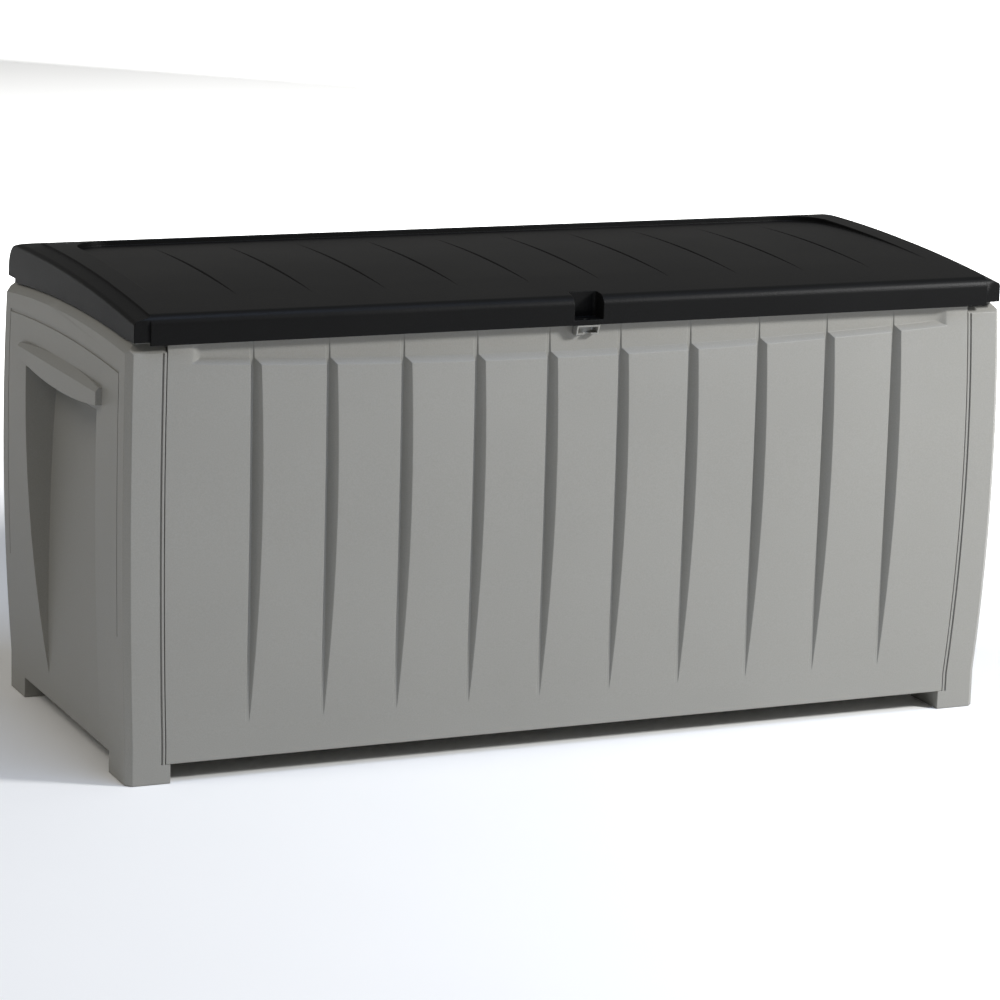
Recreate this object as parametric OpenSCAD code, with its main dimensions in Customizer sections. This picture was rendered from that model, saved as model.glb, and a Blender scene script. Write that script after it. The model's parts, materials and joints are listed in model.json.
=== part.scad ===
// Flat-pack resin deck storage box: four bowed panels, a drop-in floor and a hinged lid.
// Millimetres. Origin at the centre of the footprint on the ground, +Z up,
// +X to the right seen from the front, the front faces -Y.

/* [Body size] */
// Width across the belly of the side panels
body_w = 1240; // [1000:10:1500]
// Depth across the belly of the front and back panels
body_d = 532; // [440:2:640]
// Height of the belly, where the walls bulge most
belly_z = 350; // [300:5:400]
// How far a side wall pulls in between the belly and the base
side_bow = 8; // [7:0.5:13]
// How far the front and back walls pull in between the belly and the base
front_bow = 11; // [8:0.5:13]
// Height of the plinth, where the walls stand upright
plinth_z = 50; // [44:1:60]
// Height of the rim that the lid rests on
rim_z = 576; // [566:1:620]
// Wall thickness of the body panels
wall = 3.2; // [2.6:0.1:3.8]
// Flat cut across the upright corners
corner_cut = 8; // [5:0.5:11]

/* [Posts and feet] */
// How far a side panel wraps round onto the front and back
post_w = 51; // [46:1:58]
// Open seam between a post and its neighbour panel
seam_gap = 1.2; // [0.6:0.1:2]
// Width of the bead along the edge of a post
bead_w = 3; // [2:0.5:4]
// Height of the feet, up to the lower edge of the side panels
foot_h = 28; // [24:1:34]
// Length of a foot along the side
foot_l = 71; // [60:1:84]
// How far a foot reaches in under the front and back panels
foot_tab = 7; // [4:1:12]
// Depth of the sloped shoulder under the lid
shoulder = 11; // [8:0.5:12]
// Height of the shoulder's lower edge on the front and back of a post
shoulder_z = 551; // [546:1:554]
// Height of the shoulder's crown on a side panel
crown_z = 560; // [556:1:563]
// Place of the shoulder's crown along the depth
crown_y = -30; // [-60:5:0]
// Radius of the shoulder's arch
crown_r = 2900; // [2400:50:3400]

/* [Front panel] */
// Lower edge of the front and back panels
panel_z = 25; // [22:0.5:27]
// Number of grooves between the planks
groove_n = 10; // [6:1:12]
// Width of the outermost boards
outer_board = 115.1; // [96:0.1:140]
// Flat floor of a groove
groove_floor = 4.8; // [4:0.2:7]
// Height where the grooves run out
groove_end_z = 70; // [60:2:120]
// Depth of the grip recess under the lid
grip_depth = 7; // [4:0.5:8]
// Lowest point of the grip recess's curved ledge
grip_z = 520; // [500:2:526]
// Radius of the curved ledge
grip_r = 9500; // [7000:100:14000]
// Clear band between the grip recess and each post
grip_margin = 24; // [18:1:34]

/* [Side panels] */
// Width of the fine line that frames the side field
frame_line = 2; // [1.5:0.5:3]
// Distance of that line from the front and back faces
frame_inset = 30; // [26:1:36]
// Height of the frame line's crown
frame_z = 535; // [525:1:545]
// Length of the handle
handle_l = 336; // [280:1:410]
// How far the handle stands proud
handle_out = 9; // [6:0.5:12]
// Height of the handle's upper edge
handle_z = 500; // [490:1:510]
// Depth of the finger pocket under the handle
pocket_deep = 42; // [34:1:48]
// Height where the pocket runs out
pocket_end_z = 62; // [56:2:120]

/* [Lid] */
// Gap between the lid's sides and the body's neck
lid_gap = 1; // [0.5:0.1:2]
// How far the lid's front and back stand out past the belly
lid_over = 2.5; // [1.5:0.5:5]
// Height of the lid's arch at its front edge
lid_front = 598.6; // [596:0.2:612]
// Wall thickness of the lid
lid_wall = 3.5; // [3:0.1:4]
// Radius of the lid's front-to-back arch
arch_r = 3500; // [3200:50:4200]
// Distance of the arch's crown from the lid's rear edge
arch_back = 138.5; // [120:0.5:160]
// Lower edge of the lid's front skirt
skirt_z = 562; // [560:0.5:564]
// Radius of the lid's front roll
front_roll = 14; // [10:1:18]
// Width of the lower band at each end of the lid
band_w = 22; // [18:1:30]
// Width of the outermost boards in the lid's field
lid_outer_board = 106; // [90:1:130]
// Width of a lid groove at its widest
lid_groove = 5; // [4:0.2:6]
// Width of the padlock notch
notch_w = 41; // [36:0.2:50]
// Depth of the padlock notch
notch_d = 26; // [22:1:28]
// Radius of the padlock holes
lock_r = 5; // [4:0.5:5.5]

/* [Hinges] */
// Distance of the outer hinges from the middle
hinge_x = 400; // [300:10:460]
// Length of a hinge
hinge_l = 80; // [64:2:96]
// Radius of a hinge pin
pin_r = 3; // [2.5:0.1:3.4]
// Radial play of a pin in the lid's knuckle
pin_play = 0.05; // [0.02:0.01:0.1]
// Radius of a knuckle
knuckle_r = 5; // [4.8:0.1:5.2]

/* [Fasteners] */
// Shank radius of the screws
screw_r = 2; // [1.8:0.1:2.4]
// Head radius of the screws
head_r = 4; // [3.5:0.1:4.5]

/* [Hidden] */
$fn = 48;

resin = "#9a9995";
black = "#262626";
steel = "#b8bcc0";

eps = 0.01;             // overlap of shapes that make one solid
fit = 0.3;              // gap between pieces that only lie against each other
bow_steps = 14;         // flat strips in a bowed wall
arc_steps = 10;         // flat strips in a small roll
half_w = body_w / 2;
half_d = body_d / 2;
bow_run = belly_z - plinth_z;

// Half-width of a bowed wall at height z, for its half-width at the belly and its bow
function bowed(half, bow, z) =
    let (zz = max(z, plinth_z), r = bow_run * bow_run / (2 * bow) + bow / 2)
    half - r + sqrt(r * r - (zz - belly_z) * (zz - belly_z));
// Depth of the corner screws, in the middle of the flanges
function corner_y(z) = face_y(z) - wall - flange_in / 2;
function side_x(z) = bowed(half_w, side_bow, z);
function face_y(z) = bowed(half_d, front_bow, z);

// Outline of a bowed wall pair, seen edge on
module bow_outline(half, bow, z0, z1) {
    zb = max(z0, plinth_z);
    zs = concat(z0 < plinth_z ? [z0] : [], [for (i = [0 : bow_steps]) zb + (z1 - zb) * i / bow_steps]);
    n = len(zs);
    polygon(concat(
        [for (z = zs) [bowed(half, bow, z), z]],
        [for (i = [0 : n - 1]) [-bowed(half, bow, zs[n - 1 - i]), zs[n - 1 - i]]]));
}

// Everything between two bowed surfaces that face left and right
module between_sides(half, z0 = 0, z1 = rim_z) {
    rotate([90, 0, 0]) linear_extrude(2 * body_d, center = true)
        bow_outline(half, side_bow, z0, z1);
}

// Everything between two bowed surfaces that face front and back
module between_faces(half, z0 = 0, z1 = rim_z) {
    rotate([90, 0, 90]) linear_extrude(2 * body_w, center = true)
        bow_outline(half, front_bow, z0, z1);
}

// The barrel-like body, drawn in by an inset, with its four corners cut off
module envelope(inset, z0 = 0, z1 = rim_z) {
    diagonal = (half_w + half_d - corner_cut) / sqrt(2) - inset;
    diagonal_bow = (side_bow + front_bow) / sqrt(2);
    intersection() {
        between_sides(half_w - inset, z0, z1);
        between_faces(half_d - inset, z0, z1);
        rotate([90, 0, 45]) linear_extrude(2 * body_w, center = true)
            bow_outline(diagonal, diagonal_bow, z0, z1);
        rotate([90, 0, -45]) linear_extrude(2 * body_w, center = true)
            bow_outline(diagonal, diagonal_bow, z0, z1);
    }
}

// A pan-head screw along +Z with the head's underside at the origin
module screw(length) {
    translate([0, 0, -length]) cylinder(h = length + eps, r = screw_r);
    cylinder(h = 1, r = head_r);
    translate([0, 0, 1 - eps]) cylinder(h = 1.4, r1 = head_r, r2 = head_r - 1.6);
}

/* ---- seams, flanges and corner screws ---- */

seam_x = half_w - post_w;               // the post's edge at the belly
panel_half = seam_x - seam_gap;         // the front panel's edge at the belly
flange_t = 3;
flange_in = 20;                         // how far the flanges reach into the box
corner_screw_z = [90, 230, 370, 490];
pilot_r = screw_r + 0.05;

// A strip that follows the side bow, from one half-width to another
module side_strip(outer, inner, z0, z1) {
    difference() {
        between_sides(outer, z0, z1);
        between_sides(inner, z0 - 1, z1 + 1);
    }
}

module corner_screws(sx, sy) {
    color(steel) for (z = corner_screw_z)
        translate([sx * (bowed(panel_half, side_bow, z) - flange_t - 0.5), sy * corner_y(z), z])
            rotate([0, -sx * 90, 0]) screw(flange_t * 2 + seam_gap + 3);
}

module corner_holes(r) {
    for (sx = [-1, 1], sy = [-1, 1], z = corner_screw_z)
        translate([sx * bowed(seam_x, side_bow, z), sy * corner_y(z), z])
            rotate([0, 90, 0]) cylinder(h = 24, r = r, center = true);
}

/* ---- front and back panels ---- */

panel_top = rim_z - 3;
groove_pitch = 2 * (panel_half - outer_board) / (groove_n - 1);
groove_tilt = 0.36;
groove_left = 0.18;                     // run of the steep wall for each unit of depth
groove_right = 0.94;                    // run of the wide slope for each unit of depth
groove_y = face_y(groove_end_z);        // the groove's floor where it runs out
ledge_y = face_y(grip_z);
back_recess = 10;
back_recess_z = 524;
ledge_w = 16;                           // flange that carries the floor
ledge_t = 3.2;

// Plan outline of one groove, widened by g, with its floor on the X axis
module groove_outline(g) {
    deep = 20;
    polygon([[-groove_floor / 2 - g, g], [groove_floor / 2 + g, g],
        [groove_floor / 2 + g + groove_right * deep, -deep],
        [-groove_floor / 2 - g - groove_left * deep, -deep]]);
}

// The row of grooves on the front, widened by g; side is -1 for the front, 1 for the back
module grooves(side, g = 0) {
    first = -(groove_n - 1) / 2;
    for (i = [0 : groove_n - 1])
        translate([(first + i) * groove_pitch, side * groove_y, groove_end_z - g])
            rotate([side * groove_tilt, 0, 0]) mirror([0, side > 0 ? 1 : 0, 0])
                linear_extrude(rim_z) groove_outline(g);
}

// The grip recess above its curved, sloping ledge, deepened by g
module grip_recess(g = 0) {
    top_half = panel_half - grip_margin + 11 + g;
    foot_half = panel_half - grip_margin + g;
    foot_z = grip_z + 6;
    end_half = foot_half + 8 + g * 1.24;
    reach = 14;
    intersection() {
        difference() {
            translate([0, -ledge_y - reach, grip_z + grip_r]) rotate([-90, 0, 0])
                cylinder(h = 3 * reach, r1 = grip_r + reach + g * sqrt(2),
                    r2 = grip_r - 2 * reach + g * sqrt(2), $fn = 720);
            between_faces(half_d - grip_depth - g, 0, rim_z + 10);
        }
        rotate([90, 0, 0]) linear_extrude(body_d)
            polygon([[-foot_half, foot_z - 20], [-foot_half, foot_z + 4], [-top_half, rim_z - 20],
                [-top_half, rim_z + 5], [top_half, rim_z + 5], [top_half, rim_z - 20],
                [foot_half, foot_z + 4], [foot_half, foot_z - 20]]);
        // the ends slope in, two along for each one deep
        linear_extrude(rim_z + 10) polygon([[-end_half - 16, -ledge_y - 16], [-end_half + 40, 12 - ledge_y],
            [end_half - 40, 12 - ledge_y], [end_half + 16, -ledge_y - 16]]);
    }
}

// The hinge recess along the whole top of the back, deepened by g
module hinge_recess(g = 0) {
    difference() {
        translate([-half_w, half_d / 2, back_recess_z - g]) cube([body_w, half_d, rim_z]);
        between_faces(half_d - back_recess - g, 0, rim_z + 300);
    }
}

module recess(side, g = 0) {
    if (side < 0) grip_recess(g);
    else hinge_recess(g);
}

module bowed_panel(side) {
    box_y = side < 0 ? -body_d : 0;
    difference() {
        intersection() {
            envelope(0, panel_z, panel_top);
            between_sides(panel_half, panel_z, panel_top);
            translate([-body_w, box_y, 0]) cube([2 * body_w, body_d, rim_z]);
        }
        recess(side);
        grooves(side);
        difference() {
            intersection() {
                envelope(wall, panel_z - 1, panel_top + 1);
                between_sides(panel_half - flange_t, panel_z - 1, panel_top + 1);
            }
            recess(side, wall);
            grooves(side, wall);
            // the ledge that carries the floor
            difference() {
                translate([-body_w, box_y, panel_z]) cube([2 * body_w, body_d, ledge_t]);
                between_faces(half_d - wall - ledge_w, panel_z - 1, rim_z);
            }
        }
        // keep only the wall, its end flanges and the floor ledge
        between_faces(half_d - flange_in - wall, panel_z - 1, rim_z);
        corner_holes(pilot_r + 0.2);
        floor_screw_holes();
    }
}

module front_panel() {
    color(resin) difference() {
        bowed_panel(-1);
        // room for the lid's lock tab
        translate([-notch_w / 2 - 8, -half_d, skirt_z - 1])
            cube([notch_w + 16, half_d / 2, rim_z]);
        loop_screw_holes();
    }
}

module back_panel() {
    color(resin) difference() {
        bowed_panel(1);
        bracket_screw_holes();
    }
}

/* ---- side panels ---- */

neck_top = rim_z;
shoulder_half = side_x(crown_z) - shoulder;
pocket_y0 = 20 - handle_l / 2;
pocket_y1 = handle_l / 2 - 11;
pocket_top = handle_z - 22;
pocket_r = 950;                         // radius of the pocket's rear edge
lip_t = 3;

// The sloping shoulder and the neck above it
module shoulder_cut(inset) {
    y0 = face_y(shoulder_z) - inset;
    r = crown_r - inset * 0.42;
    x1 = shoulder_half - inset;
    intersection() {
        rotate([90, 0, 90]) linear_extrude(2 * body_w, center = true)
            polygon([[-y0 - 30, -1], [-y0 - 30, shoulder_z - 30 - inset * 0.42],
                [-y0 + shoulder, shoulder_z + shoulder - inset * 0.42],
                [-y0 + shoulder, neck_top + 2], [y0 - shoulder, neck_top + 2],
                [y0 - shoulder, shoulder_z + shoulder - inset * 0.42],
                [y0 + 30, shoulder_z - 30 - inset * 0.42], [y0 + 30, -1]]);
        translate([0, crown_y, crown_z - crown_r]) rotate([0, 90, 0])
            rotate_extrude($fn = 360) polygon([[0, 0], [r + 60, 0], [r + 60, x1],
                [r + shoulder, x1], [r, x1 + shoulder], [r - 20, x1 + shoulder + 20],
                [0, x1 + shoulder + 20]]);
    }
}

// Side view of the finger pocket, grown by g
module pocket_side(g) {
    intersection() {
        translate([pocket_y1 - pocket_r, pocket_top - 20]) circle(r = pocket_r + g, $fn = 360);
        translate([pocket_y0 - g, pocket_end_z - 2 * g])
            square([2 * body_d, pocket_top - pocket_end_z + 3 * g]);
    }
}

// The finger pocket: deep under the handle, running out to nothing near the base
module pocket(g = 0) {
    x_end = side_x(pocket_end_z) - g;
    x_deep = side_x(handle_z) - pocket_deep - g;
    x_lip = side_x(handle_z) - lip_t + g;
    z_lip = handle_z - 38;
    intersection() {
        rotate([90, 0, 90]) linear_extrude(body_w) pocket_side(g);
        rotate([90, 0, 0]) linear_extrude(2 * body_d, center = true)
            polygon([[x_end + 30, pocket_end_z - g], [x_end, pocket_end_z - g],
                [x_deep + 19, belly_z - 125], [x_deep, z_lip - 20], [x_deep, pocket_top + g],
                [x_lip, pocket_top + g], [x_lip, z_lip], [x_lip + 60, z_lip]]);
    }
}

// The handle: a lens-shaped lip, thicker in the middle, with a sloped upper ledge
module handle_lip() {
    x1 = side_x(handle_z) + handle_out;
    upper_r = 1900;
    lower_r = 1250;
    low_z = handle_z - 39;
    intersection() {
        rotate([90, 0, 90]) linear_extrude(body_w) intersection() {
            translate([-handle_l / 2, low_z - 20]) square([handle_l, 100]);
            translate([-4, handle_z - upper_r]) circle(r = upper_r, $fn = 360);
            translate([-8, low_z + lower_r]) circle(r = lower_r, $fn = 360);
        }
        rotate([90, 0, 0]) linear_extrude(body_d, center = true)
            polygon([[side_x(handle_z) - lip_t, low_z - 20], [x1, low_z - 20],
                [x1, handle_z - 12], [x1 - handle_out - lip_t, handle_z + 3]]);
    }
}

// The line that frames the side field
module frame_line_cut() {
    deep = 1.2;
    module outline(g) {
        intersection() {
            bow_outline(half_d - frame_inset - g, front_bow, 190, rim_z);
            translate([0, frame_z - 3300 - g]) circle(r = 3300, $fn = 360);
        }
    }
    difference() {
        rotate([90, 0, 90]) linear_extrude(body_w) difference() {
            outline(0);
            translate([0, -frame_line]) outline(frame_line);
        }
        between_sides(half_w - deep, 0, rim_z + 10);
    }
}

// Two corner feet of a side panel
module feet() {
    x0 = bowed(seam_x, side_bow, 0) - foot_tab;
    for (s = [-1, 1]) intersection() {
        envelope(0, 0, foot_h + 4);
        translate([x0, s > 0 ? face_y(0) - foot_l : -face_y(0) - 5, 0])
            cube([post_w + foot_tab + 5, foot_l + 5, panel_z - fit]);
    }
}

module side_panel() {
    difference() {
        union() {
            difference() {
                intersection() {
                    envelope(0, 0, neck_top);
                    shoulder_cut(0);
                    translate([0, -body_d, 0]) cube([body_w, 2 * body_d, neck_top + 5]);
                }
                // hollow inside, with a flange at each seam
                difference() {
                    intersection() {
                        envelope(wall, foot_h - 3, neck_top + 1);
                        shoulder_cut(wall);
                    }
                    pocket(wall);
                    side_strip(seam_x + flange_t, seam_x - 1, 0, neck_top + 2);
                }
                between_sides(seam_x, -1, neck_top + 2);
                // trim the seam flanges to strips along the posts
                intersection() {
                    between_faces(half_d - flange_in - wall, 1, neck_top + 2);
                    between_sides(seam_x + flange_t + eps, 0, neck_top + 3);
                }
                pocket();
                frame_line_cut();
                // V line beside the bead along the seam
                difference() {
                    side_strip(seam_x + bead_w + 2.4, seam_x + bead_w, 0, shoulder_z);
                    between_faces(half_d - 2, -1, neck_top + 2);
                }
                // lower edge between the feet
                translate([0, foot_l - face_y(0), -1])
                    cube([body_w, 2 * (face_y(0) - foot_l), foot_h + 1]);
            }
            feet();
            handle_lip();
        }
        corner_holes(pilot_r);
    }
}

module right_side_panel() {
    color(resin) side_panel();
}

module left_side_panel() {
    color(resin) mirror([1, 0, 0]) side_panel();
}

/* ---- floor ---- */

floor_z = panel_z + ledge_t + fit;      // underside of the floor plate
floor_t = 3.5;
rib_t = 3;
rib_h = 7;
floor_screw_x = [for (i = [-3 : 2 : 3]) i * (panel_half - 88) / 3];
floor_screw_y = half_d - front_bow - wall - ledge_w / 2;

module floor_screw_holes() {
    for (x = floor_screw_x, s = [-1, 1])
        translate([x, s * floor_screw_y, panel_z - 1]) cylinder(h = ledge_t + 2, r = pilot_r);
}

module floor_panel() {
    x1 = side_x(0) - wall - 1;
    y1 = face_y(0) - wall - 1;
    flange_x = bowed(panel_half, side_bow, 0) - flange_t;
    rib_x = x1 - 60;
    rib_y = y1 - ledge_w - 6;
    color(resin) difference() {
        union() {
            intersection() {
                envelope(wall + 1, floor_z, floor_z + floor_t);
                translate([-x1, -y1, floor_z]) cube([2 * x1, 2 * y1, floor_t]);
            }
            for (i = [-4 : 4])
                translate([i * rib_x / 4 - rib_t / 2, -rib_y, floor_z - rib_h])
                    cube([rib_t, 2 * rib_y, rib_h + eps]);
            for (i = [-1 : 1])
                translate([-rib_x, i * rib_y - rib_t / 2, floor_z - rib_h])
                    cube([2 * rib_x, rib_t, rib_h + eps]);
        }
        // room for the seam flanges
        for (sx = [-1, 1], sy = [-1, 1])
            translate([sx * flange_x, sy * (y1 - 8), floor_z])
                cube([34, 2 * (flange_in - 4), 3 * floor_t], center = true);
        for (x = floor_screw_x, s = [-1, 1])
            translate([x, s * floor_screw_y, floor_z - 1])
                cylinder(h = floor_t + 2, r = screw_r + 0.3);
    }
}

module floor_screws() {
    color(steel) for (x = floor_screw_x, s = [-1, 1])
        translate([x, s * floor_screw_y, floor_z + floor_t]) screw(floor_t + ledge_t);
}

/* ---- padlock loop ---- */

loop_w = 32;
loop_top = skirt_z - 0.5;
loop_h = 13;
loop_t = 2.4;
loop_back = face_y(loop_top - loop_h / 2) - grip_depth;   // the recessed face behind the loop
loop_out = half_d + lid_over + 0.5;                        // the front of its top plate
lock_y = (loop_out + loop_back) / 2 + 1;                  // the padlock's own axis

module padlock_loop() {
    plate = 2.4;
    color(resin) difference() {
        rotate([90, 0, 90]) linear_extrude(loop_w, center = true)
            polygon([[-loop_back - 0.9, loop_top], [-loop_out, loop_top],
                [-loop_out + 5, loop_top - loop_h], [-loop_back - 0.9, loop_top - loop_h]]);
        translate([-loop_w / 2 + loop_t, -loop_out - 5, loop_top - loop_h + loop_t])
            cube([loop_w - 2 * loop_t, loop_out + 5 - loop_back - 0.9 - plate,
                loop_h - 2 * loop_t]);
        translate([0, -lock_y, loop_top - loop_h - 1]) cylinder(h = loop_h + 2, r = lock_r);
        for (s = [-1, 1]) translate([s * 10, -loop_back, loop_top - loop_h / 2])
            rotate([90, 0, 0]) cylinder(h = 20, r = pilot_r, center = true);
    }
}

loop_screw_y = loop_back - wall - 0.9;

module loop_screw_holes() {
    for (s = [-1, 1]) translate([s * 10, -loop_back, loop_top - loop_h / 2])
        rotate([90, 0, 0]) cylinder(h = 24, r = pilot_r, center = true);
}

module padlock_loop_screws() {
    color(steel) for (s = [-1, 1])
        translate([s * 10, -loop_screw_y, loop_top - loop_h / 2]) rotate([-90, 0, 0])
            screw(wall + 3);
}

/* ---- lid ---- */

lid_x = shoulder_half + lid_gap + lid_wall;
lid_y = half_d + lid_over;
lid_w = 2 * lid_x;
lid_d = 2 * lid_y;
lid_top = lid_front + arch_r - sqrt(arch_r * arch_r - pow(lid_d - arch_back, 2));
arch_y = lid_y - arch_back;
arch_cz = lid_top - arch_r;
rear_r = 300;                           // the top bends down towards the rear roll
rear_y = arch_y + 30;                   // where that bend starts
rear_roll = 36;
field_half = lid_x - 53.5;
field_front = 108.5 - lid_y;
field_back = lid_y - 83.5;
lid_pitch = 2 * (field_half - lid_outer_board) / (groove_n - 1);
field_deep = 8;
field_corner = 60;
skirt_rear_z = 560;
inner_x = lid_x - lid_wall;
edge_lap = 0.2;                         // how far the lower edge's cut runs into the hollow

function arch_z(y, r = arch_r) = arch_cz + sqrt(r * r - (y - arch_y) * (y - arch_y));

// Points of an arc about [y, z], from angle a0 to angle a1, measured from +Y
function arc(y, z, r, a0, a1, n) =
    [for (i = [0 : n]) let (a = a0 + (a1 - a0) * i / n) [y + r * cos(a), z + r * sin(a)]];

// Side view of the lid, drawn in by an inset, down to height z0
module lid_profile(inset, z0) {
    roll_y = -lid_y + front_roll;
    roll_z = arch_cz + sqrt(pow(arch_r - front_roll, 2) - pow(roll_y - arch_y, 2));
    tilt_f = asin((arch_y - roll_y) / (arch_r - front_roll));
    tilt_r = asin((rear_y - arch_y) / arch_r);
    mid_y = arch_y + (arch_r - rear_r) * sin(tilt_r);
    mid_z = arch_cz + (arch_r - rear_r) * cos(tilt_r);
    end_y = lid_y - rear_roll;
    end_z = mid_z + sqrt(pow(rear_r - rear_roll, 2) - pow(end_y - mid_y, 2));
    tilt_e = asin((end_y - mid_y) / (rear_r - rear_roll));
    polygon(concat(
        [[-lid_y + inset, z0]],
        arc(roll_y, roll_z, front_roll - inset, 180, 90 + tilt_f, arc_steps),
        arc(arch_y, arch_cz, arch_r - inset, 90 + tilt_f, 90 - tilt_r, 24),
        arc(mid_y, mid_z, rear_r - inset, 90 - tilt_r, 90 - tilt_e, 8),
        arc(end_y, end_z, rear_roll - inset, 90 - tilt_e, 0, arc_steps),
        [[lid_y - inset, z0]]));
}

module lid_solid(inset, half, z0) {
    rotate([90, 0, 90]) linear_extrude(2 * half, center = true) lid_profile(inset, z0);
}

// The lid's ends: a fine step, a band that slopes away, a roll and the side face
module lid_ends(inset) {
    x0 = lid_x - band_w - inset;
    r = arch_r - inset;
    roll = 6;
    translate([0, arch_y, arch_cz]) rotate([0, 90, 0]) rotate_extrude($fn = 360)
        polygon(concat([[0, -lid_x + inset], [r - 90, -lid_x + inset]],
            [for (a = [0 : 15 : 75]) [r - 6 - roll + roll * sin(a), -lid_x + inset + roll - roll * cos(a)]],
            [[r - 2, -x0 - 1], [r + 5, -x0], [r + 5, x0], [r - 2, x0 + 1]],
            [for (a = [75 : -15 : 0]) [r - 6 - roll + roll * sin(a), lid_x - inset - roll + roll * cos(a)]],
            [[r - 90, lid_x - inset], [0, lid_x - inset]]));
}

// The sunk field of the lid, deepened by g
module lid_field(g = 0) {
    // the field's own arch passes through its front edge and the foot of its rear edge
    r = 2800;
    z0 = arch_z(field_front);
    z1 = arch_z(field_back) - field_deep;
    chord = norm([field_back - field_front, z1 - z0]);
    lean = atan((z1 - z0) / (field_back - field_front));
    cy = (field_front + field_back) / 2 + sqrt(r * r - chord * chord / 4) * sin(lean);
    cz = (z0 + z1) / 2 - sqrt(r * r - chord * chord / 4) * cos(lean);
    a0 = 90 + asin((cy - field_front + g) / r);
    a1 = 90 - asin((field_back + g + 6 - cy) / r);
    intersection() {
        rotate([90, 0, 90]) linear_extrude(2 * body_w, center = true)
            polygon(concat([[field_front - g, lid_top + 20]], arc(cy, cz, r - g, a0, a1, 20),
                [[field_back + g + 6, lid_top + 20]]));
        linear_extrude(lid_top + 20) union() {
            translate([-field_half - g, field_front - 20])
                square([2 * (field_half + g), field_back - field_front - field_corner + 20]);
            translate([-field_half + field_corner, 0])
                square([2 * (field_half - field_corner), field_back + g]);
            for (s = [-1, 1]) translate([s * (field_half - field_corner), field_back - field_corner])
                circle(r = field_corner + g, $fn = 96);
        }
    }
}

groove_y0 = 73.5 - lid_y;
groove_y1 = lid_y - 126.5;

// Straight V cuts whose ends run out because the lid is arched; g makes the backing ribs
module lid_grooves(g = 0) {
    z0 = arch_z(groove_y0);
    z1 = z0 + 9;
    lean = atan((z1 - z0) / (groove_y1 - groove_y0));
    deep = 5.8;
    half = lid_groove / 2;
    first = -(groove_n - 1) / 2;
    for (i = [0 : groove_n - 1])
        translate([(first + i) * lid_pitch, groove_y0, z0]) rotate([lean, 0, 0])
            translate([0, groove_y1 - groove_y0 + 10, 0]) rotate([90, 0, 0])
                linear_extrude(groove_y1 - groove_y0 + 20)
                    if (g == 0) polygon([[0, 0], [half * 2, deep * 2], [-half * 2, deep * 2]]);
                    else translate([-half - g, -g]) square([2 * half + 2 * g, 30]);
}

tab_t = 3.5;
tab_z = skirt_z + 3;                    // underside of the lock tab

// The padlock notch, grown by g, open to the front and the top
module lock_notch(g = 0) {
    w0 = notch_w / 2 + g;
    z0 = tab_z + tab_t - g;
    intersection() {
        translate([-w0, -body_d, z0]) cube([2 * w0, body_d, lid_top]);
        linear_extrude(lid_top + 20) union() {
            translate([-notch_w, -lid_y - 10]) square([2 * notch_w, notch_d + 6 + g]);
            translate([-w0 + 4, -lid_y - 10]) square([2 * w0 - 8, notch_d + 10 + g]);
            for (s = [-1, 1]) translate([s * (w0 - 4), -lid_y + notch_d - 4 + g]) circle(r = 4);
        }
    }
}

boss_half = field_half - 56;
boss_xy = [for (i = [-2 : 2], y = [98.5 - lid_y, lid_y - 118.5]) [i * boss_half / 2, y]];
liner_z = rim_z + fit + 0.1;            // underside of the liner
liner_t = 3;

module lid_shell() {
    side_r = 3300;
    corner_x = lid_x - 64.5;
    color(black) difference() {
        intersection() {
            lid_solid(0, lid_x, skirt_rear_z);
            lid_ends(0);
        }
        // lower edges: front, sides, and the rear corners
        translate([-lid_x - 1, -lid_y - 1, 0]) cube([lid_w + 2, lid_y, skirt_z]);
        difference() {
            translate([-lid_x - 1, -lid_y + lid_wall, 0]) cube([lid_w + 2, lid_d, skirt_z + 20]);
            translate([0, -35, skirt_z + 9 - side_r]) rotate([0, 90, 0]) difference() {
                cylinder(h = 3 * body_w, r = side_r * 2, center = true, $fn = 360);
                cylinder(h = 2 * body_w, r = side_r, center = true, $fn = 720);
            }
            // kept just inside the hollow, so that no film is left along its walls
            translate([-inner_x + edge_lap, -lid_y, 0])
                cube([2 * (inner_x - edge_lap), lid_d + 2, lid_top]);
        }
        for (s = [-1, 1]) translate([s > 0 ? corner_x : -body_w, lid_y - 30, 0])
            cube([body_w - corner_x, 60, skirt_z + 3]);
        // set the end bands' front faces back
        for (s = [-1, 1]) translate([s > 0 ? lid_x - band_w + 1 : -lid_x - 1, -lid_y - 1, 0])
            cube([band_w, 3, lid_top]);
        for (s = [-1, 1]) translate([s > 0 ? lid_x - band_w + 1 : -lid_x - 1, -lid_y - 1, 0])
            cube([band_w, 40, skirt_z + 4]);
        lid_field();
        lid_grooves();
        lock_notch();
        translate([0, -lock_y, tab_z - 1]) cylinder(h = tab_t + 2, r = lock_r);
        // the hollow underside, with backing for every sunk shape and bosses for the liner
        difference() {
            intersection() {
                lid_solid(lid_wall, inner_x, 0);
                lid_ends(lid_wall);
            }
            lid_field(lid_wall);
            intersection() {
                lid_grooves(lid_wall - 0.5);
                translate([-lid_x, groove_y0 - 4, 0])
                    cube([lid_w, groove_y1 - groove_y0 + 8, lid_top]);
            }
            intersection() {
                lock_notch(lid_wall);
                translate([-lid_x, -lid_y, tab_z]) cube([lid_w, lid_y, lid_top]);
            }
            for (p = boss_xy) translate([p[0], p[1], liner_z + liner_t])
                cylinder(h = lid_top, r = 7);
            leaf_pads();
        }
        for (p = boss_xy) translate([p[0], p[1], liner_z + liner_t - 1])
            cylinder(h = 14, r = pilot_r);
        hinge_slots();
        leaf_screw_holes();
    }
}

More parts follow.
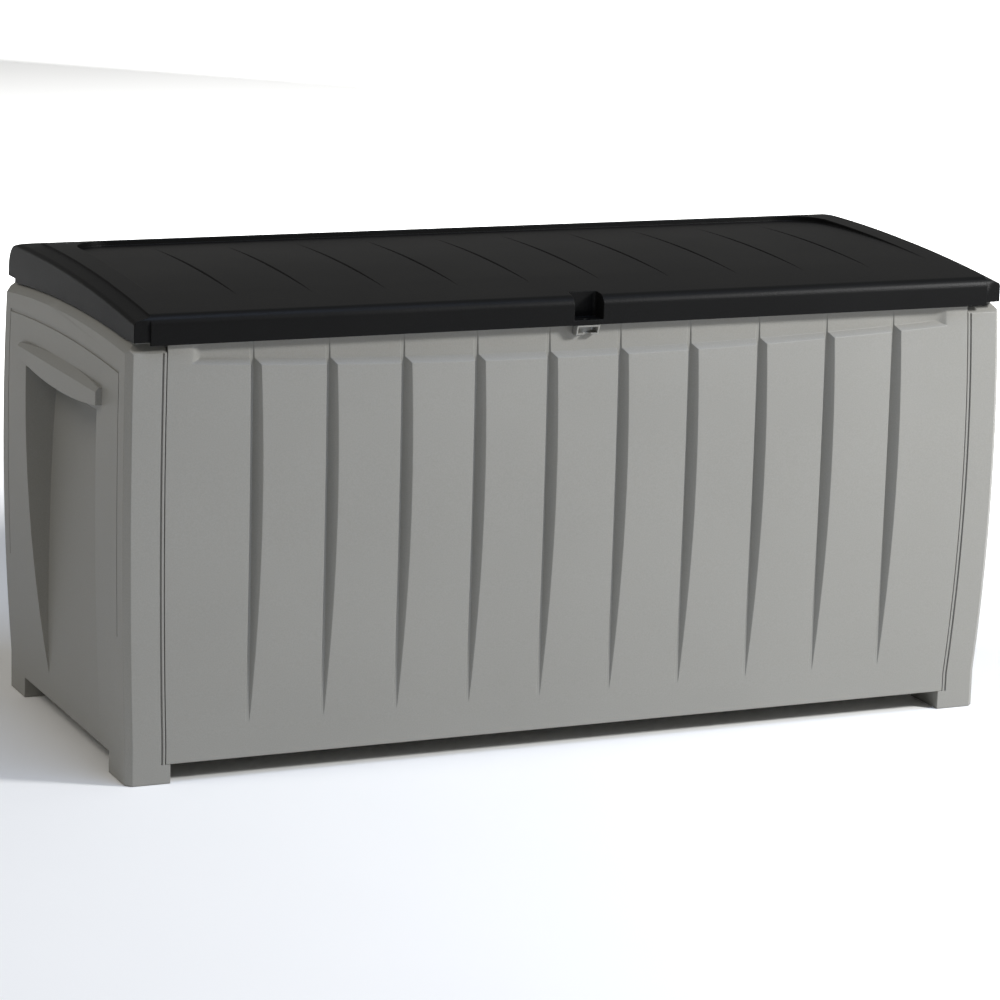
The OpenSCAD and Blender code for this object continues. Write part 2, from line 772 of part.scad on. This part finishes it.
module lid_liner() {
    x1 = inner_x - 4;
    y0 = -lid_y + 12;
    y1 = hinge_y - knuckle_r - 4;
    cut = notch_w / 2 + lid_wall + 5;
    color(black) difference() {
        union() {
            translate([-x1, y0, liner_z]) cube([2 * x1, y1 - y0, liner_t]);
            for (y = [y0 + 20, y0 + 196, y1 - 212, y1 - 12])
                translate([-x1 + 10, y, liner_z + liner_t - eps]) cube([2 * x1 - 20, 3, 9]);
            for (i = [-4.5, -3, -1, 1, 3, 4.5])
                translate([i * (x1 - 42) / 4.5, y0 + 20, liner_z + liner_t - eps]) cube([3, y1 - y0 - 32, 9]);
        }
        translate([-cut, -lid_y, liner_z - 1])
            cube([2 * cut, notch_d + lid_wall + 5, 40]);
        for (p = boss_xy) translate([p[0], p[1], liner_z - 1])
            cylinder(h = liner_t + 2, r = screw_r + 0.3);
    }
}

module lid_liner_screws() {
    color(steel) for (p = boss_xy)
        translate([p[0], p[1], liner_z]) mirror([0, 0, 1]) screw(liner_t + 10);
}

/* ---- hinges ---- */

hinge_z = rim_z - 9;
plate_t = 3;
bracket_low = hinge_z - 39;
bracket_y = face_y(bracket_low) - back_recess + 0.05;
hinge_y = bracket_y + plate_t + knuckle_r + 0.4;
leaf_y = hinge_y - 14;                  // front edge of a leaf's plate
leaf_d = 16;                            // depth of that plate
leaf_half = hinge_l / 2 - 4;
leaf_z = hinge_z + 14;                  // underside of that plate
mid_half = 13.7;                        // half-length of the lid's knuckle
side_play = 0.3;
bracket_screw = [for (x = [-26, 26]) [x, bracket_low + 9]];
leaf_screw = [for (x = [-26, 26]) [x, hinge_y - 4]];
hinge_places = [-hinge_x, 0, hinge_x];

module hinge_bracket(x) {
    color(black) translate([x, 0, 0]) difference() {
        union() {
            translate([-hinge_l / 2, bracket_y, bracket_low])
                cube([hinge_l, plate_t, hinge_z - bracket_low + 2]);
            for (s = [-1, 1]) {
                translate([s > 0 ? mid_half + side_play : -hinge_l / 2, 0, 0])
                    translate([0, hinge_y, hinge_z]) rotate([0, 90, 0])
                        cylinder(h = hinge_l / 2 - mid_half - side_play, r = knuckle_r);
                translate([s > 0 ? mid_half + side_play : -hinge_l / 2, bracket_y,
                        hinge_z - knuckle_r])
                    cube([hinge_l / 2 - mid_half - side_play, hinge_y - bracket_y, 7]);
            }
        }
        translate([-hinge_l, hinge_y, hinge_z]) rotate([0, 90, 0])
            cylinder(h = 2 * hinge_l, r = pin_r + pin_play);
        translate([-mid_half - side_play, bracket_y + plate_t - 0.4, hinge_z - 8])
            cube([2 * (mid_half + side_play), 20, 20]);
        for (p = bracket_screw) translate([p[0], bracket_y - 1, p[1]]) rotate([-90, 0, 0])
            cylinder(h = plate_t + 2, r = screw_r + 0.3);
    }
}

module bracket_screw_holes() {
    for (x = hinge_places, p = bracket_screw)
        translate([x + p[0], bracket_y - 12, p[1]]) rotate([-90, 0, 0])
            cylinder(h = 14, r = pilot_r);
}

module hinge_bracket_screws() {
    color(steel) for (x = hinge_places, p = bracket_screw)
        translate([x + p[0], bracket_y + plate_t, p[1]]) rotate([-90, 0, 0])
            screw(plate_t + wall + 3);
}

module hinge_pin(x) {
    color(steel) translate([x - hinge_l / 2 - 1, hinge_y, hinge_z]) rotate([0, 90, 0]) {
        cylinder(h = hinge_l + 2, r = pin_r);
        for (z = [-1.5, hinge_l + 2 - eps])
            translate([0, 0, z]) cylinder(h = 1.5 + eps, r = knuckle_r - 0.6);
    }
}

module hinge_leaf(x) {
    color(black) translate([x, 0, 0]) difference() {
        union() {
            translate([-mid_half, hinge_y, hinge_z]) rotate([0, 90, 0])
                cylinder(h = 2 * mid_half, r = knuckle_r);
            translate([-mid_half, hinge_y - plate_t, hinge_z])
                cube([2 * mid_half, 2 * plate_t, leaf_z - hinge_z + eps]);
            translate([-leaf_half, leaf_y, leaf_z]) cube([2 * leaf_half, leaf_d, plate_t]);
        }
        translate([-hinge_l, hinge_y, hinge_z]) rotate([0, 90, 0])
            cylinder(h = 2 * hinge_l, r = pin_r + pin_play);
        for (p = leaf_screw) translate([p[0], p[1], leaf_z - 1])
            cylinder(h = plate_t + 2, r = screw_r + 0.3);
    }
}

// Solid pads under the lid's rear roll that the leaves are screwed to
module leaf_pads() {
    for (x = hinge_places)
        translate([x - leaf_half, leaf_y, leaf_z + plate_t + 0.05])
            cube([2 * leaf_half, leaf_d, lid_top]);
}

// Slots in the lid's rear skirt that the knuckles turn in
module hinge_slots() {
    for (x = hinge_places)
        translate([x - hinge_l / 2 - 4, hinge_y - 3, skirt_rear_z - 5])
            cube([hinge_l + 8, 30, hinge_z + 15 - skirt_rear_z]);
}

module leaf_screw_holes() {
    for (x = hinge_places, p = leaf_screw)
        translate([x + p[0], p[1], leaf_z + plate_t - 1]) cylinder(h = 10, r = pilot_r);
}

module hinge_leaf_screws() {
    color(steel) for (x = hinge_places, p = leaf_screw)
        translate([x + p[0], p[1], leaf_z]) mirror([0, 0, 1]) screw(plate_t + 8);
}

front_panel();
back_panel();
left_side_panel();
right_side_panel();
floor_panel();
padlock_loop();
padlock_loop_screws();
corner_screws(-1, -1);  // corner_screws_front_left
corner_screws(1, -1);  // corner_screws_front_right
corner_screws(-1, 1);  // corner_screws_back_left
corner_screws(1, 1);  // corner_screws_back_right
floor_screws();
hinge_bracket(-hinge_x);  // hinge_bracket_left
hinge_bracket(0);  // hinge_bracket_middle
hinge_bracket(hinge_x);  // hinge_bracket_right
hinge_bracket_screws();
hinge_pin(-hinge_x);  // hinge_pin_left
hinge_pin(0);  // hinge_pin_middle
hinge_pin(hinge_x);  // hinge_pin_right
lid_shell();
lid_liner();
lid_liner_screws();
hinge_leaf(-hinge_x);  // hinge_leaf_left
hinge_leaf(0);  // hinge_leaf_middle
hinge_leaf(hinge_x);  // hinge_leaf_right
hinge_leaf_screws();
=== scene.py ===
import json
import math

import bpy
from mathutils import Matrix, Vector


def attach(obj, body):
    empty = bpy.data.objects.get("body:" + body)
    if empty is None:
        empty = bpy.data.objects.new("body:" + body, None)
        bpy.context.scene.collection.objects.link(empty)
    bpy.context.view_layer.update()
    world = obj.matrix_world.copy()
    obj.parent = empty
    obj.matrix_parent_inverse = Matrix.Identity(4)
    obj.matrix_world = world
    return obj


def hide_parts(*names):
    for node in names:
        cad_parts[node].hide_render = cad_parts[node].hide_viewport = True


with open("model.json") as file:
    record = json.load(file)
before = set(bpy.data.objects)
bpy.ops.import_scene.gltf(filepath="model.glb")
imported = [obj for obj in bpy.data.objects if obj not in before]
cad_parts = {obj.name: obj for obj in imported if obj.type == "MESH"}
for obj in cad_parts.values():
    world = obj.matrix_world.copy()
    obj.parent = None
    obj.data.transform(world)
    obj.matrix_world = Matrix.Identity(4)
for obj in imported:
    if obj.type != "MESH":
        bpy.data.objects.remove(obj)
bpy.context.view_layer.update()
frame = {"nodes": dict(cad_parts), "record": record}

# ---- Camera ----
# A long lens in front of the box and a little to its left, at about twice its height. It looks
# slightly down on the lid, and leans by a degree and a half.
azimuth, elevation, roll = math.radians(-24.02), math.radians(12.57), math.radians(1.64)
sight = Vector((-math.sin(azimuth) * math.cos(elevation), math.cos(azimuth) * math.cos(elevation),
                -math.sin(elevation)))
right = Vector((math.cos(azimuth), math.sin(azimuth), 0))
above = right.cross(sight)
tilted_right = right * math.cos(roll) + above * math.sin(roll)
tilted_above = above * math.cos(roll) - right * math.sin(roll)
bpy.ops.object.camera_add()
camera = bpy.context.object
camera.matrix_world = (Matrix.Translation((-2.0419, -4.588, 1.3968))
                       @ Matrix((tilted_right, tilted_above, -sight)).transposed().to_4x4())
camera.data.lens = 136.25
camera.data.sensor_width = 36
camera.data.shift_x = -0.0005
camera.data.shift_y = -0.0019
camera.data.clip_end = 100
bpy.context.scene.camera = camera

# ---- Studio ----
# A plain pale floor under soft boxes: the key stands to the right, with a weak fill to the left
# and a cool light above. Two lamps behind the box, turned away from it, brighten the floor.
floor_drop = 0.0005                     # the floor lies this far under the feet
aim = Vector((0, 0, 0.3))               # the soft boxes look at the middle of the box
away = Vector((0.75, 0.75, -0.5))       # the floor lamps look back, right and down
lamp_height = 3.2
lamp_shift = 0.45                       # how far right of the box a lamp stands, for each metre back


def linear(code):
    """The linear colour of an sRGB hex value."""
    parts = [int(code[i:i + 2], 16) / 255 for i in (1, 3, 5)]
    return [c / 12.92 if c < 0.04045 else ((c + 0.055) / 1.055) ** 2.4 for c in parts] + [1]


def add(tree, kind, inputs=None, **settings):
    """Adds a node with its settings; inputs holds plain values or the sockets to link."""
    node = tree.nodes.new(kind)
    for name, value in settings.items():
        setattr(node, name, value)
    for name, value in (inputs or {}).items():
        if isinstance(value, bpy.types.NodeSocket):
            tree.links.new(value, node.inputs[name])
        else:
            node.inputs[name].default_value = value
    return node


def surface(name, **shader):
    """A new material with its own shader settings."""
    material = bpy.data.materials.new(name)
    material.use_nodes = True
    tree = material.node_tree
    principled = tree.nodes["Principled BSDF"]
    for socket, value in shader.items():
        principled.inputs[socket.replace("_", " ")].default_value = value
    return material, tree, principled


def painted_floor():
    """Matt studio paint, rolled: nearly white with the faintest mottling."""
    material, tree, shader = surface("studio_paint_rolled", Roughness=0.85)
    place = add(tree, "ShaderNodeTexCoord")
    mottle = add(tree, "ShaderNodeTexNoise", {"Vector": place.outputs["Object"], "Scale": 3})
    tone = add(tree, "ShaderNodeMix", {"Factor": mottle.outputs["Fac"], "A": linear("#f1f1f0"),
                                       "B": linear("#f4f4f3")}, data_type="RGBA")
    tree.links.new(tone.outputs["Result"], shader.inputs["Base Color"])
    return material


bpy.ops.object.select_all(action="DESELECT")
bpy.ops.mesh.primitive_plane_add(size=60, location=(0, 0, -floor_drop))
floor = bpy.context.object
floor.name = "studio_floor"
bpy.ops.object.transform_apply(location=True, rotation=True, scale=True)
floor.data.materials.append(painted_floor())


def soft_box(name, bearing, climb, distance, size, power, tint="#ffffff"):
    """A square light that looks at the box from a bearing (0 in front, 90 to the right)."""
    a, e = math.radians(bearing), math.radians(climb)
    way = Vector((math.sin(a) * math.cos(e), -math.cos(a) * math.cos(e), math.sin(e)))
    bpy.ops.object.light_add(type="AREA", location=way * distance + aim)
    light = bpy.context.object
    light.name = name
    light.data.size = size
    light.data.energy = power
    light.data.color = linear(tint)[:3]
    light.rotation_euler = way.to_track_quat("Z", "Y").to_euler()


soft_box("key_light", bearing=50, climb=28, distance=3.4, size=0.5, power=116)
soft_box("left_fill", bearing=-80, climb=45, distance=5.0, size=1.6, power=56, tint="#fffaf3")
soft_box("top_light", bearing=10, climb=68, distance=5.0, size=2.0, power=85, tint="#c4d8fb")
for distance, power in ((2.0, 700), (8.0, 2600)):
    bpy.ops.object.light_add(type="AREA", location=(lamp_shift * distance, distance, lamp_height))
    lamp = bpy.context.object
    lamp.data.size = 2.0
    lamp.data.energy = power
    lamp.rotation_euler = (-away).to_track_quat("Z", "Y").to_euler()
world = bpy.context.scene.world or bpy.data.worlds.new("studio")
bpy.context.scene.world = world
world.use_nodes = True
world.node_tree.nodes["Background"].inputs["Color"].default_value = linear("#f6f5f1")
world.node_tree.nodes["Background"].inputs["Strength"].default_value = 0.24
bpy.context.scene.view_settings.view_transform = "Standard"

# ---- Side panels, with their posts, feet and handles ----
# Each is one injection moulding of warm grey polypropylene. The mould gives it a fine even
# grain, and the resin cools into very slightly uneven tones.


def grey_polypropylene():
    """Moulded polypropylene: satin, a spark-eroded grain of about 0.8 mm, soft moulded edges."""
    material, tree, shader = surface("polypropylene_moulded_grey", IOR=1.49)
    place = add(tree, "ShaderNodeTexCoord")
    # cloudy tone changes about 250 mm across, as the resin flowed and cooled
    cloud = add(tree, "ShaderNodeTexNoise", {"Vector": place.outputs["Object"], "Scale": 4,
                                             "Detail": 3})
    tone = add(tree, "ShaderNodeMix", {"Factor": cloud.outputs["Fac"], "A": linear("#83827d"),
                                       "B": linear("#8b8a85")}, data_type="RGBA")
    # speckle of the grain, drawn 1.7 mm wide so that it shows
    fleck = add(tree, "ShaderNodeTexNoise", {"Vector": place.outputs["Object"], "Scale": 600,
                                             "Detail": 2})
    speck = add(tree, "ShaderNodeMapRange", {"Value": fleck.outputs["Fac"], "From Min": 0.3,
                                             "From Max": 0.7, "To Min": 0.95, "To Max": 1.04})
    colour = add(tree, "ShaderNodeMix", {"Factor": 1, "A": tone.outputs["Result"],
                                         "B": speck.outputs["Result"]},
                 data_type="RGBA", blend_type="MULTIPLY")
    tree.links.new(colour.outputs["Result"], shader.inputs["Base Color"])
    # the sheen varies a little where the mould was polished more
    sheen = add(tree, "ShaderNodeMapRange", {"Value": cloud.outputs["Fac"], "To Min": 0.4,
                                             "To Max": 0.52})
    tree.links.new(sheen.outputs["Result"], shader.inputs["Roughness"])
    # edges leave the mould with a 1.5 mm radius
    edge = add(tree, "ShaderNodeBevel", {"Radius": 0.0015}, samples=4)
    grain = add(tree, "ShaderNodeBump", {"Height": fleck.outputs["Fac"], "Strength": 0.12,
                                         "Distance": 0.0008, "Normal": edge.outputs["Normal"]})
    tree.links.new(grain.outputs["Normal"], shader.inputs["Normal"])
    return material


weld_gap = 0.00001                      # points closer than this are one
fold = math.radians(30)                 # a steeper turn than this stays a crisp edge


def moulding(node, name, body, material):
    """A piece of the node's own shape, joined up and smooth except where it is folded sharply."""
    piece = frame["nodes"][node].copy()
    piece.data = piece.data.copy()
    piece.name = name
    bpy.context.collection.objects.link(piece)
    piece.parent = None
    bpy.ops.object.select_all(action="DESELECT")
    piece.select_set(True)
    bpy.context.view_layer.objects.active = piece
    bpy.ops.mesh.customdata_custom_splitnormals_clear()
    bpy.ops.object.mode_set(mode="EDIT")
    bpy.ops.mesh.select_all(action="SELECT")
    bpy.ops.mesh.remove_doubles(threshold=weld_gap)
    bpy.ops.object.mode_set(mode="OBJECT")
    bpy.ops.object.shade_smooth_by_angle(angle=fold)
    even = piece.modifiers.new("even_normals", "WEIGHTED_NORMAL")
    even.keep_sharp = True
    bpy.ops.object.modifier_apply(modifier=even.name)
    piece.data.materials.clear()
    piece.data.materials.append(material)
    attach(piece, body)
    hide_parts(node)
    return piece


grey = grey_polypropylene()
for side in ("left", "right"):
    moulding(f"{side}_side_panel", f"{side}_side_moulding", "body", grey)

# ---- Front and back panels ----
# The same grey polypropylene, moulded with ten grooves that make it look like boards. The front
# has a grip recess under the lid, and the back a flat one for the hinges. Both stand between the
# posts and are screwed to them inside.
for face in ("front", "back"):
    moulding(f"{face}_panel", f"{face}_moulding", "body", grey)

# ---- Floor ----
# One polypropylene plate, moulded with ribs underneath. It drops onto the ledges of the front
# and back panels and is screwed down to them.
moulding("floor_panel", "floor_plate", "body", grey)

# ---- Padlock loop ----
# A small open box of the same grey polypropylene, below the lid's notch. Two screws from inside
# the front panel hold it.
moulding("padlock_loop", "padlock_loop_moulding", "body", grey)

# ---- Lid ----
# Black polypropylene with a leather-like mould grain, a little smoother than the walls. The
# liner under it is screwed into its bosses and stiffens it.


def black_polypropylene():
    """Moulded polypropylene, black: leathery grain of about 1.5 mm cells with a soft gloss."""
    # the gloss is set far below the resin's own, so that it stays black above the bright floor
    material, tree, shader = surface("polypropylene_moulded_black", IOR=1.49,
                                     Specular_IOR_Level=0.12)
    place = add(tree, "ShaderNodeTexCoord")
    cloud = add(tree, "ShaderNodeTexNoise", {"Vector": place.outputs["Object"], "Scale": 5,
                                             "Detail": 3})
    tone = add(tree, "ShaderNodeMix", {"Factor": cloud.outputs["Fac"], "A": linear("#0b0b0b"),
                                       "B": linear("#0f0f0f")}, data_type="RGBA")
    tree.links.new(tone.outputs["Result"], shader.inputs["Base Color"])
    gloss = add(tree, "ShaderNodeMapRange", {"Value": cloud.outputs["Fac"], "To Min": 0.38,
                                             "To Max": 0.48})
    tree.links.new(gloss.outputs["Result"], shader.inputs["Roughness"])
    # leather cells drawn 2 mm across, a little coarser than the real grain
    cells = add(tree, "ShaderNodeTexVoronoi", {"Vector": place.outputs["Object"], "Scale": 500})
    edge = add(tree, "ShaderNodeBevel", {"Radius": 0.002}, samples=4)
    grain = add(tree, "ShaderNodeBump", {"Height": cells.outputs["Distance"], "Strength": 0.14,
                                         "Distance": 0.001, "Normal": edge.outputs["Normal"]})
    tree.links.new(grain.outputs["Normal"], shader.inputs["Normal"])
    return material


black = black_polypropylene()
moulding("lid_shell", "lid_moulding", "lid", black)
moulding("lid_liner", "lid_liner_moulding", "lid", black)

# ---- Hinges ----
# Three hinges, each two mouldings of the lid's black polypropylene: a bracket screwed to the
# back panel, and a leaf screwed up under the lid's rear roll. They turn on a steel pin.
for place in ("left", "middle", "right"):
    moulding(f"hinge_bracket_{place}", f"hinge_bracket_{place}_moulding", "body", black)
    moulding(f"hinge_leaf_{place}", f"hinge_leaf_{place}_moulding", "lid", black)

# ---- Pins and screws ----
# Zinc-plated steel: cold-headed screws, and pins cut from drawn rod, bright with fine drawing
# marks. The screws hold the panels, floor, padlock loop, liner and hinges.


def zinc_steel():
    """Zinc-plated steel: a pale metal, slightly blue, its gloss broken by fine drawing marks."""
    material, tree, shader = surface("steel_zinc_plated", Metallic=1.0)
    place = add(tree, "ShaderNodeTexCoord")
    marks = add(tree, "ShaderNodeTexNoise", {"Vector": place.outputs["Object"], "Scale": 900,
                                             "Detail": 3})
    tone = add(tree, "ShaderNodeMix", {"Factor": marks.outputs["Fac"], "A": linear("#a9adb2"),
                                       "B": linear("#c6c9cc")}, data_type="RGBA")
    tree.links.new(tone.outputs["Result"], shader.inputs["Base Color"])
    rub = add(tree, "ShaderNodeMapRange", {"Value": marks.outputs["Fac"], "To Min": 0.25,
                                           "To Max": 0.42})
    tree.links.new(rub.outputs["Result"], shader.inputs["Roughness"])
    return material


steel = zinc_steel()
bodies = frame["record"]["behaviour"]["bodies"]
for node in sorted(frame["nodes"]):
    if "screws" in node or "pin" in node:
        moulding(node, f"{node}_steel", "lid" if node in bodies["lid"] else "body", steel)
